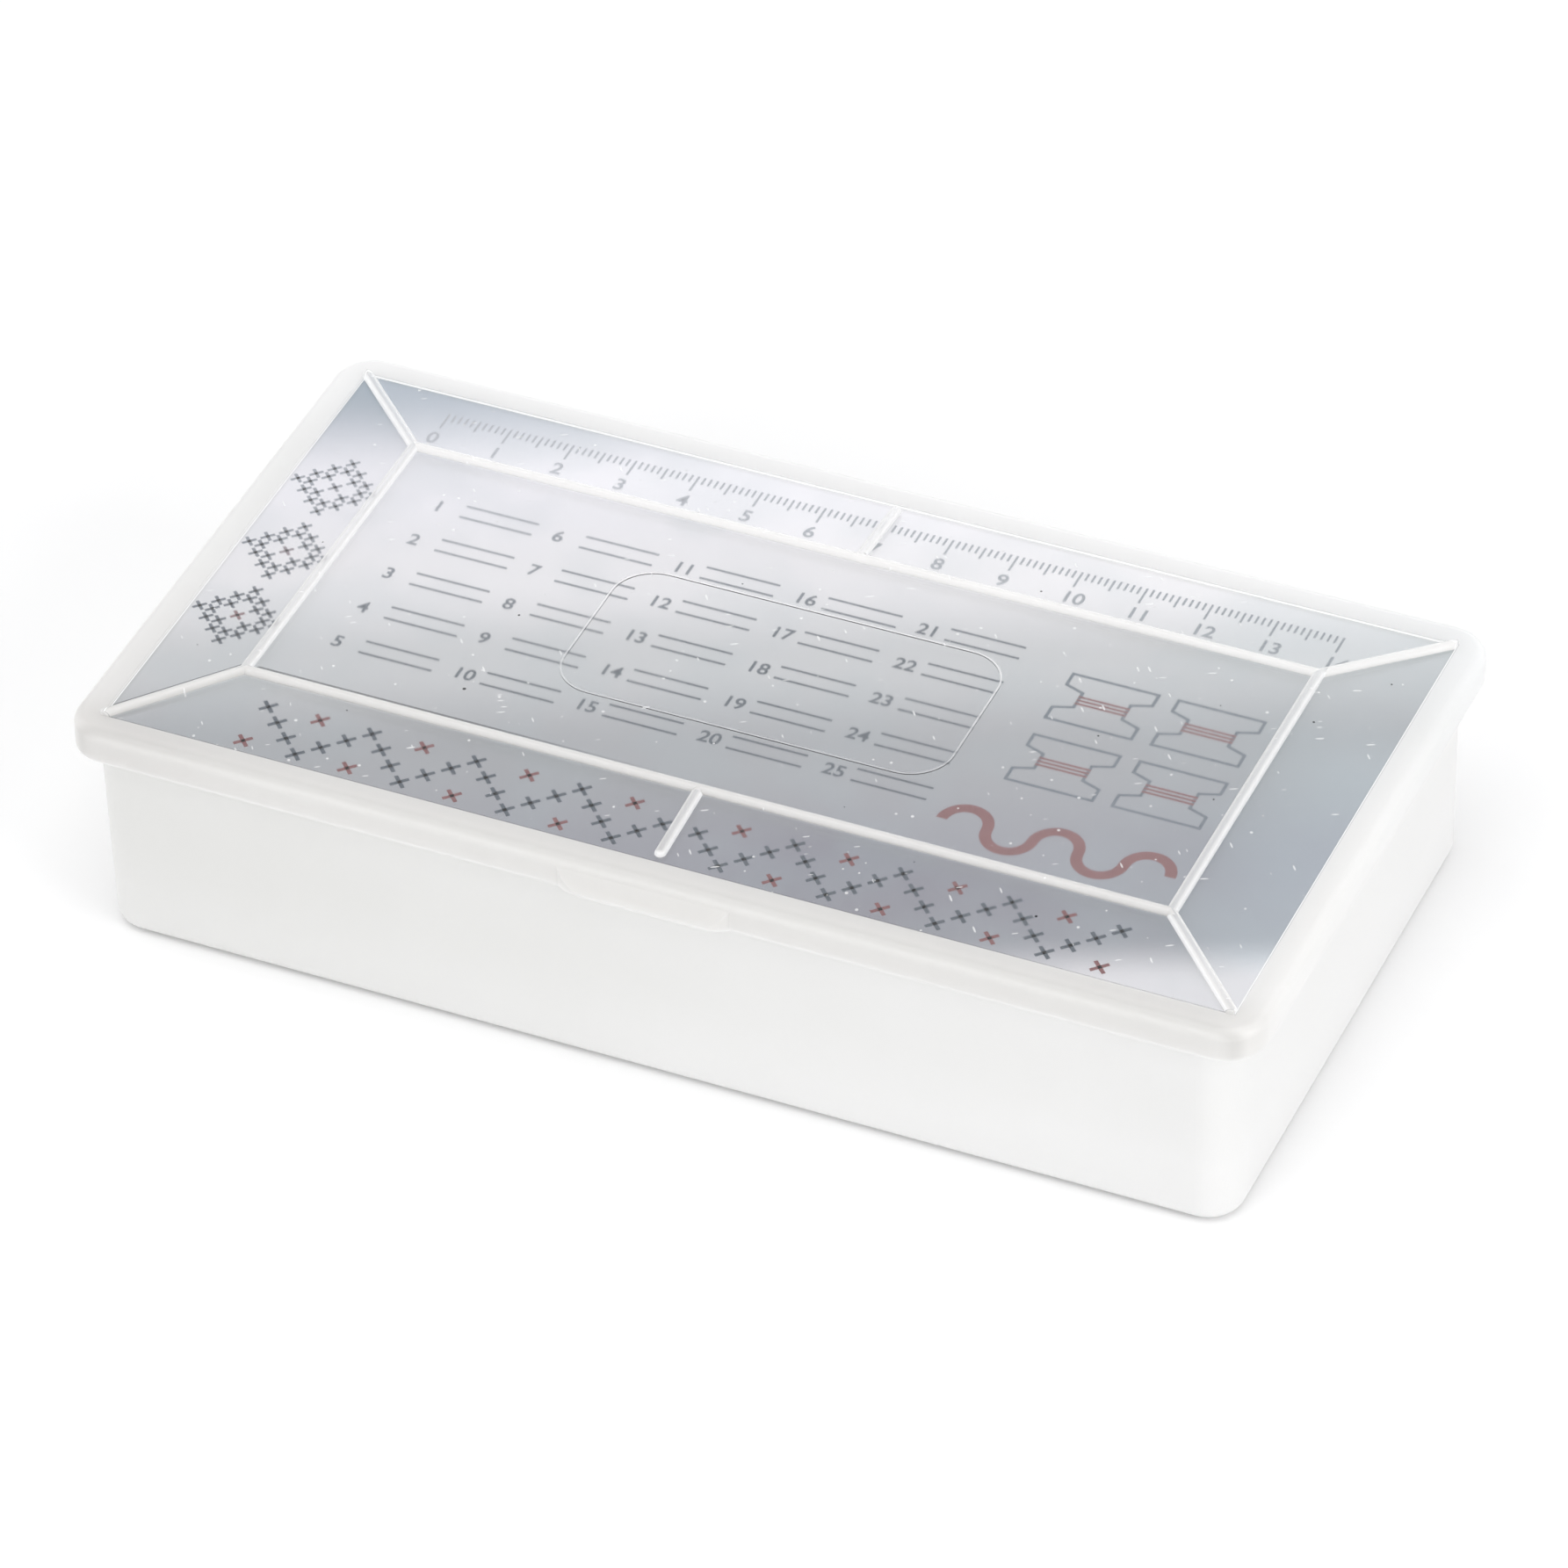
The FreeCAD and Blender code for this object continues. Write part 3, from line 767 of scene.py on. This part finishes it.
# Painted sheen: lighter and bluer over the right end of the card.
CARD_RIGHT_SHEEN = colour(1.12, 1.17, 1.18)
RIGHT_SHEEN_ACROSS = (66 * MM, 84 * MM)
RIGHT_SHEEN_ALONG = (-36 * MM, -29 * MM, 12 * MM, 27 * MM)
# Painted shade: a little darker along the front of the card.
CARD_FRONT_SHADE = colour(0.87, 0.86, 0.88)
FRONT_SHADE_ACROSS = (-5 * MM, 20 * MM, 48 * MM, 64 * MM)
FRONT_SHADE_ALONG = (-26 * MM, -31 * MM)


def card_bands(tree, spot):
    """Colour of the printed side: print, painted sheen, and painted shade along the front."""
    bands = tone_ramp(tree, use_group(tree, card_slant)["Slant"], CARD_BANDS_AND_SHEEN)
    # painted sheen at the right end
    right = math_node(tree, "MULTIPLY", soft_step(tree, spot["X"], *RIGHT_SHEEN_ACROSS),
                      soft_band(tree, spot["Y"], *RIGHT_SHEEN_ALONG))
    # painted shade along the front
    front = math_node(tree, "MULTIPLY", soft_band(tree, spot["X"], *FRONT_SHADE_ACROSS),
                      soft_step(tree, spot["Y"], *FRONT_SHADE_ALONG))
    return tint(tree, front, tint(tree, right, bands, CARD_RIGHT_SHEEN), CARD_FRONT_SHADE)


print("tones along the slanting line:", len(CARD_BANDS_AND_SHEEN))

# %% Card finish
CARD_FIBRE = {"Cloud_Scale": 60.0, "Grain_Scale": 5200.0}
PRINTED_SKIN = 0.05 * MM
CARD_BACK = colour(0.62, 0.61, 0.58)
CARD_TINT = colour(0.95, 0.985, 0.99)
TINT_RUN = (40 * MM, 80 * MM)
CARD_TEAL = colour(0.42, 0.50, 0.52)
TEAL_CLOUDS = {"start": 0.35, "end": 0.8, "high": 0.16}
TEAL_BELOW = 0.35
FIBRE_RANGE = (0.3, 0.7)
CARD_ROUGHNESS = (0.42, 0.55)
CARD_GRAIN = 0.006 * MM
COATED_IOR = 1.5


def printed_card():
    """Coated board: banded print with painted sheen on top, plain board below."""
    material, tree, surface = new_material("printed_card")
    spot = split_place(tree, object_place(tree))
    fibre = use_group(tree, moulded_skin, **CARD_FIBRE)
    printed = math_node(tree, "GREATER_THAN", spot["Z"], card_high.z - PRINTED_SKIN)
    ground = mix_colours(tree, printed, CARD_BACK, card_bands(tree, spot))
    ground = tint(tree, soft_step(tree, spot["X"], *TINT_RUN), ground, CARD_TINT)
    teal = math_node(tree, "MULTIPLY", soft_step(tree, fibre["Cloud"], **TEAL_CLOUDS),
                     math_node(tree, "MAXIMUM", printed, TEAL_BELOW))
    shader = principled(
        tree, Base_Color=mix_colours(tree, teal, ground, CARD_TEAL),
        Roughness=soft_step(tree, fibre["Grain"], *FIBRE_RANGE, *CARD_ROUGHNESS),
        Normal=bump(tree, fibre["Grain"], CARD_GRAIN), IOR=COATED_IOR)
    tree.links.new(shader, surface)
    return material


card_finish = printed_card()
print("finish:", card_finish.name, len(card_finish.node_tree.nodes), "nodes")

# %% [markdown]
# ## Inks
# Printed ink is thin and a little uneven, so each ink drifts between two strengths. A painted
# sheen also fades it to silver along the card's slanting line, as it does the bands below it.

# %% Ink finishes
INK_PRESS = {"Cloud_Scale": 700.0, "Grain_Scale": 6000.0}
# Painted sheen: the faded ink colour and where along the slanting line it takes over.
INK_UNDER_SHEEN = colour(0.36, 0.38, 0.42)
INK_SHEEN_RUN = (0.0, 55.0)
INK_ROUGHNESS = (0.4, 0.55)
INK_GRAIN = 0.004 * MM


def ink(name, strong, weak):
    """Printing ink that drifts between two strengths, faded by painted sheen towards the pale bands."""
    material, tree, surface = new_material(name)
    press = use_group(tree, moulded_skin, **INK_PRESS)
    # painted sheen: the ink fades to silver along the slanting line
    sheen_fade = soft_step(tree, use_group(tree, card_slant)["Slant"], *INK_SHEEN_RUN)
    drift = mix_colours(tree, press["Cloud"], strong, weak)
    shader = principled(
        tree, Base_Color=mix_colours(tree, sheen_fade, drift, INK_UNDER_SHEEN),
        Roughness=soft_step(tree, press["Grain"], *FIBRE_RANGE, *INK_ROUGHNESS),
        Normal=bump(tree, press["Grain"], INK_GRAIN), IOR=COATED_IOR)
    tree.links.new(shader, surface)
    return material


slate_ink = ink("slate_ink", colour(0.07, 0.09, 0.11), colour(0.11, 0.13, 0.155))
grey_ink = ink("grey_ink", colour(0.12, 0.15, 0.18), colour(0.18, 0.21, 0.24))
red_ink = ink("red_ink", colour(0.205, 0.075, 0.077), colour(0.255, 0.105, 0.106))
print("inks:", [m.name for m in (slate_ink, grey_ink, red_ink)])

# %% [markdown]
# ## Finishes on the solids
# A solid takes its finish in its material slot, and its mesh stays as it was packed. All the
# bobbins share one finish.

# %% Give the solids their finishes
finishes = {"base_tray": tray_finish, "lid": lid_finish, "card_insert": card_finish}
for name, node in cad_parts.items():
    finish = finishes.get(name, bobbin_finish)
    if node.material_slots:
        node.material_slots[0].material = finish
    else:
        node.data.materials.append(finish)
print("finished solids:", len(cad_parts))

# %% [markdown]
# ## Printing on the card
# The print is a plain index for the bobbins: numbered rules, a centimetre scale, drawings of
# bobbins, cross-stitch in a border and in diamonds, and a red thread. Each motif is a thin
# closed layer of ink that sits on the card, so it stays sharp however near the camera comes.
# All of them are laid out in millimetres from the card's middle.

# %% Ink layers
INK_LAYER = 0.02 * MM
INK_SINK = 0.005 * MM
ink_height = card_high.z + INK_LAYER / 2 - INK_SINK


def strip(bm, centre, length, width, turn=0.0):
    """Thin bar of ink; centre, length and width in millimetres, turn in degrees."""
    place = Matrix.Translation((centre[0] * MM, centre[1] * MM, ink_height))
    turned = Matrix.Rotation(math.radians(turn), 4, "Z")
    size = Matrix.Diagonal((length * MM, width * MM, INK_LAYER, 1.0))
    bmesh.ops.create_cube(bm, size=1.0, matrix=place @ turned @ size)


def print_piece(name, bm, finish):
    """Finish a bmesh of ink as a piece that rides with the lid."""
    bmesh.ops.recalc_face_normals(bm, faces=bm.faces)
    mesh = bpy.data.meshes.new(name)
    bm.to_mesh(mesh)
    bm.free()
    mesh.materials.append(finish)
    piece = bpy.data.objects.new(name, mesh)
    bpy.context.scene.collection.objects.link(piece)
    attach(piece, "lid")
    print(name, len(mesh.polygons), "faces")


print("ink lies at", round(ink_height / MM, 3), "mm")

# %% Digits
DIGIT_WEIGHT = 0.06 * MM


def add_number(bm, number, corner, height):
    """Digits set with their lower left corner at a place, in millimetres."""
    text = bpy.data.curves.new("digits", "FONT")
    text.body = str(number)
    text.size = height * MM
    text.extrude = INK_LAYER / 2
    text.offset = DIGIT_WEIGHT
    holder = bpy.data.objects.new("digits", text)
    mesh = bpy.data.meshes.new_from_object(holder)
    mesh.transform(Matrix.Translation((corner[0] * MM, corner[1] * MM, ink_height)))
    bm.from_mesh(mesh)
    bpy.data.objects.remove(holder)
    bpy.data.curves.remove(text)
    bpy.data.meshes.remove(mesh)


print("digits get", round(DIGIT_WEIGHT / MM, 2), "mm of extra weight")

# %% Numbered rules, one for each bobbin
INDEX_COLUMNS = 5
INDEX_CORNER = (-63.0, 17.5)
INDEX_DIGITS = 3.4
COLUMN_STEP = 19.0
ROW_STEP = 8.4
RULE_START = 4.6
RULE_LENGTH = 11.5
RULE_WIDTH = 0.4
RULE_GAP = 2.6

rules = bmesh.new()
numbers = bmesh.new()
bobbin_total = sum(name.startswith("bobbin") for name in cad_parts)
for index in range(bobbin_total):
    left = INDEX_CORNER[0] + COLUMN_STEP * (index // INDEX_COLUMNS)
    level = INDEX_CORNER[1] - ROW_STEP * (index % INDEX_COLUMNS)
    middle = left + RULE_START + RULE_LENGTH / 2
    add_number(numbers, index + 1, (left, level), INDEX_DIGITS)
    strip(rules, (middle, level), RULE_LENGTH, RULE_WIDTH)
    strip(rules, (middle, level + RULE_GAP), RULE_LENGTH, RULE_WIDTH)
print_piece("index_rules", rules, slate_ink)
print_piece("index_numbers", numbers, slate_ink)

# %% Centimetre scale along the back
SCALE_LENGTH = 140
SCALE_LEVEL = 39.0
MARK_WIDTH = 0.34
MARK_DEPTHS = ((10, 3.6), (5, 2.6), (1, 1.7))
FIGURE_OFFSET = (-0.9, -7.2)
FIGURE_DIGITS = 3.6

marks = bmesh.new()
figures = bmesh.new()
for step in range(SCALE_LENGTH + 1):
    place = step - SCALE_LENGTH / 2
    depth = next(depth for every, depth in MARK_DEPTHS if step % every == 0)
    strip(marks, (place, SCALE_LEVEL - depth / 2), MARK_WIDTH, depth)
    if step % 10 == 0:
        corner = (place + FIGURE_OFFSET[0], SCALE_LEVEL + FIGURE_OFFSET[1])
        add_number(figures, step // 10, corner, FIGURE_DIGITS)
print_piece("scale_marks", marks, grey_ink)
print_piece("scale_figures", figures, grey_ink)

# %% Cross-stitch border along the front
STITCH_TURNS = (45.0, -45.0)
BORDER_STEP = 2.7
BORDER_STITCH = (2.9, 0.6)
BORDER_COLUMNS = 49
BORDER_LEVEL = -40.0
WAVE = 6
PEAK = WAVE // 2


def cross_stitch(bm, centre, size):
    """Two crossed bars of ink; size is a bar's length and width."""
    for turn in STITCH_TURNS:
        strip(bm, centre, *size, turn)


slate_stitches = bmesh.new()
red_stitches = bmesh.new()
for column in range(BORDER_COLUMNS):
    across = BORDER_STEP * (column - (BORDER_COLUMNS - 1) / 2)
    if across == 0.0:
        continue  # the middle rib lies over this place
    row = abs(column % WAVE - PEAK)
    cross_stitch(slate_stitches, (across, BORDER_LEVEL + BORDER_STEP * row), BORDER_STITCH)
    if row == PEAK:
        cross_stitch(red_stitches, (across, BORDER_LEVEL), BORDER_STITCH)
    if row == 0:
        cross_stitch(red_stitches, (across, BORDER_LEVEL + BORDER_STEP * PEAK), BORDER_STITCH)
print_piece("border_slate", slate_stitches, slate_ink)
print_piece("border_red", red_stitches, red_ink)

# %% Cross-stitch diamonds on the left
DIAMOND_PLACES = ((-78.0, -15.0), (-78.0, 1.0), (-78.0, 17.0))
DIAMOND_STEP = 2.0
DIAMOND_REACH = 3
DIAMOND_STITCH = (2.2, 0.5)

diamonds = bmesh.new()
diamond_middles = bmesh.new()
for middle in DIAMOND_PLACES:
    for column in range(-DIAMOND_REACH, DIAMOND_REACH + 1):
        for row in range(-DIAMOND_REACH, DIAMOND_REACH + 1):
            ring = abs(column) + abs(row)
            place = (middle[0] + DIAMOND_STEP * column, middle[1] + DIAMOND_STEP * row)
            if ring in (DIAMOND_REACH - 1, DIAMOND_REACH):
                cross_stitch(diamonds, place, DIAMOND_STITCH)
            if ring == 0:
                cross_stitch(diamond_middles, place, DIAMOND_STITCH)
print_piece("diamonds_slate", diamonds, slate_ink)
print_piece("diamonds_red", diamond_middles, red_ink)

# %% Drawings of bobbins
DRAWN_HALF = Vector((6.75, 5.5))
DRAWN_WAIST = 3.9
DRAWN_NOTCH = (2.5, 1.5)
DRAWN_LINE = 0.5
DRAWN_CENTRES = ((44.0, 12.0), (60.0, 12.0), (44.0, -2.5), (60.0, -2.5))
WINDING_STEP = 0.75
WINDING_WIDTH = 0.4


def draw_bobbin(bm, centre):
    """Outline of a bobbin: a rectangle with a notch in each side, inset to a line."""
    mouth, waist = DRAWN_NOTCH
    left = [(-DRAWN_HALF.x, DRAWN_HALF.y), (-DRAWN_HALF.x, mouth), (-DRAWN_WAIST, waist),
            (-DRAWN_WAIST, -waist), (-DRAWN_HALF.x, -mouth), (-DRAWN_HALF.x, -DRAWN_HALF.y)]
    corners = []
    for x, y in left + [(-x, -y) for x, y in left]:
        corners.append(bm.verts.new(((centre[0] + x) * MM, (centre[1] + y) * MM, ink_height)))
    face = bm.faces.new(corners)
    bmesh.ops.recalc_face_normals(bm, faces=[face])
    bmesh.ops.inset_region(bm, faces=[face], thickness=DRAWN_LINE * MM,
                           use_even_offset=True, use_boundary=True)
    bmesh.ops.delete(bm, geom=[face], context="FACES_ONLY")


def thicken(bm):
    """Give a flat drawing the thickness of an ink layer."""
    bmesh.ops.recalc_face_normals(bm, faces=bm.faces)
    bmesh.ops.solidify(bm, geom=bm.faces[:], thickness=INK_LAYER)


drawings = bmesh.new()
windings = bmesh.new()
for centre in DRAWN_CENTRES:
    draw_bobbin(drawings, centre)
    for winding in (-1, 0, 1):
        level = centre[1] + WINDING_STEP * winding
        strip(windings, (centre[0], level), 2 * DRAWN_WAIST, WINDING_WIDTH)
thicken(drawings)
print_piece("bobbin_drawings", drawings, grey_ink)
print_piece("drawn_windings", windings, red_ink)

# %% Red thread in waves
THREAD_WIDTH = 1.7
THREAD_RADIUS = 3.4
THREAD_WAVES = 5
THREAD_START = (36.0, -19.0)
THREAD_STEPS = 16
THREAD_JOIN = 0.01 * MM


def thread_arc(bm, centre, sweep):
    """Half ring of thread: a short edge on the left of a centre, spun about it."""
    middle = Vector((centre[0] * MM, centre[1] * MM, ink_height))
    reach = Vector((-MM, 0.0, 0.0))
    ends = []
    for side in (-1, 1):
        ends.append(bm.verts.new(middle + reach * (THREAD_RADIUS + side * THREAD_WIDTH / 2)))
    edge = bm.edges.new(ends)
    bmesh.ops.spin(bm, geom=ends + [edge], cent=middle, axis=(0.0, 0.0, 1.0),
                   angle=sweep, steps=THREAD_STEPS)


thread = bmesh.new()
for wave in range(THREAD_WAVES):
    centre = (THREAD_START[0] + 2 * THREAD_RADIUS * wave, THREAD_START[1])
    thread_arc(thread, centre, -math.pi if wave % 2 == 0 else math.pi)
bmesh.ops.remove_doubles(thread, verts=thread.verts, dist=THREAD_JOIN)
thicken(thread)
print_piece("thread_wave", thread, red_ink)

# %% [markdown]
# ## Studio
# The box stands on a plain pale floor in even, high-key light. Large soft lamps stand above
# it, to the right, in front and, much weaker, to the left. The sky is white, so the milky
# plastic stays close to white with only a soft shade where it meets the floor. Gloss mirrors
# a dim studio with one bright wall at the back, which puts a sheen on the lid's back slope.

# %% Floor
FLOOR_HALF = 4.0
FLOOR_PAPER = {"Cloud_Scale": 3.0, "Grain_Scale": 900.0}
PAPER_SHADE = colour(0.93, 0.93, 0.93)
PAPER_WHITE = colour(0.95, 0.95, 0.95)
PAPER_ROUGHNESS = (0.85, 0.95)


def pale_floor():
    """Matt white paper sweep."""
    material, tree, surface = new_material("floor_paper")
    paper = use_group(tree, moulded_skin, **FLOOR_PAPER)
    shader = principled(
        tree, Base_Color=mix_colours(tree, paper["Cloud"], PAPER_SHADE, PAPER_WHITE),
        Roughness=soft_step(tree, paper["Grain"], 0.0, 1.0, *PAPER_ROUGHNESS))
    tree.links.new(shader, surface)
    return material


sheet = bmesh.new()
bmesh.ops.create_grid(sheet, x_segments=1, y_segments=1, size=FLOOR_HALF)
floor_mesh = bpy.data.meshes.new("floor")
sheet.to_mesh(floor_mesh)
sheet.free()
floor_mesh.materials.append(pale_floor())
floor = bpy.data.objects.new("floor", floor_mesh)
bpy.context.scene.collection.objects.link(floor)
print("floor is", 2 * FLOOR_HALF, "m wide")

# %% Sky
SKY_HORIZON = colour(1.0, 1.0, 1.0)
SKY_ZENITH = colour(0.95, 0.95, 0.96)
SKY_RISE = (0.1, 0.9)
SKY_STRENGTH = 0.6
WALL_EDGE = (0.6, 0.95)
MIRRORED_STRENGTHS = (0.32, 2.15)


def studio_sky():
    """White sky, a little cooler overhead; gloss mirrors a bright wall behind the box."""
    world = bpy.data.worlds.new("studio_sky")
    world.use_nodes = True
    tree = world.node_tree
    background = tree.nodes["Background"]
    direction = split_place(tree, tree.nodes.new("ShaderNodeTexCoord").outputs["Generated"])
    height = soft_step(tree, direction["Z"], *SKY_RISE)
    tree.links.new(mix_colours(tree, height, SKY_HORIZON, SKY_ZENITH), background.inputs["Color"])
    wall = soft_step(tree, direction["Y"], *WALL_EDGE, *MIRRORED_STRENGTHS)
    mirrored = tree.nodes.new("ShaderNodeLightPath").outputs["Is Glossy Ray"]
    extra = math_node(tree, "MULTIPLY", math_node(tree, "SUBTRACT", wall, SKY_STRENGTH), mirrored)
    tree.links.new(math_node(tree, "ADD", extra, SKY_STRENGTH), background.inputs["Strength"])
    return world


bpy.context.scene.world = studio_sky()
print("sky:", bpy.context.scene.world.name)

# %% Lamps
BOX_MIDDLE = Vector((0.0, 0.0, 0.02))
LAMPS = (
    ("overhead_lamp", (0.0, -0.2, 1.7), 1.6, 12.8),
    ("right_lamp", (1.6, -0.3, 0.7), 1.2, 11.2),
    ("left_lamp", (-1.6, 0.1, 0.5), 1.2, 4.0),
    ("front_lamp", (-0.5, -1.8, 0.8), 1.2, 9.0),
)


def soft_lamp(name, place, size, power):
    """Square soft box that looks at the box's middle."""
    data = bpy.data.lights.new(name, "AREA")
    data.size = size
    data.energy = power
    lamp = bpy.data.objects.new(name, data)
    lamp.location = place
    lamp.rotation_euler = (BOX_MIDDLE - Vector(place)).to_track_quat("-Z", "Y").to_euler()
    bpy.context.scene.collection.objects.link(lamp)


for lamp_name, lamp_place, lamp_size, lamp_power in LAMPS:
    soft_lamp(lamp_name, lamp_place, lamp_size, lamp_power)
print("lamps:", len(LAMPS))

# %% [markdown]
# ## Camera
# The view is from above the front right corner through a long lens, so the box's edges stay
# nearly parallel. The camera is turned a little about its own axis, as the photograph was.

# %% Camera
CAMERA_PLACE = Vector((0.4256, -0.9203, 0.8549))
CAMERA_AIM = Vector((-0.0001, 0.0002, 0.018))
CAMERA_ROLL = -1.79
CAMERA_LENS = 212.2
SENSOR = 36.0

camera_data = bpy.data.cameras.new("camera")
camera_data.sensor_width = SENSOR
camera_data.lens = CAMERA_LENS
camera = bpy.data.objects.new("camera", camera_data)
aimed = (CAMERA_AIM - CAMERA_PLACE).to_track_quat("-Z", "Y").to_matrix()
rolled = aimed @ Matrix.Rotation(math.radians(CAMERA_ROLL), 3, "Z")
camera.matrix_world = Matrix.Translation(CAMERA_PLACE) @ rolled.to_4x4()
bpy.context.scene.collection.objects.link(camera)
bpy.context.scene.camera = camera
bpy.context.scene.view_settings.view_transform = "Standard"
print("camera right vector:", [round(v, 4) for v in rolled.col[0]])
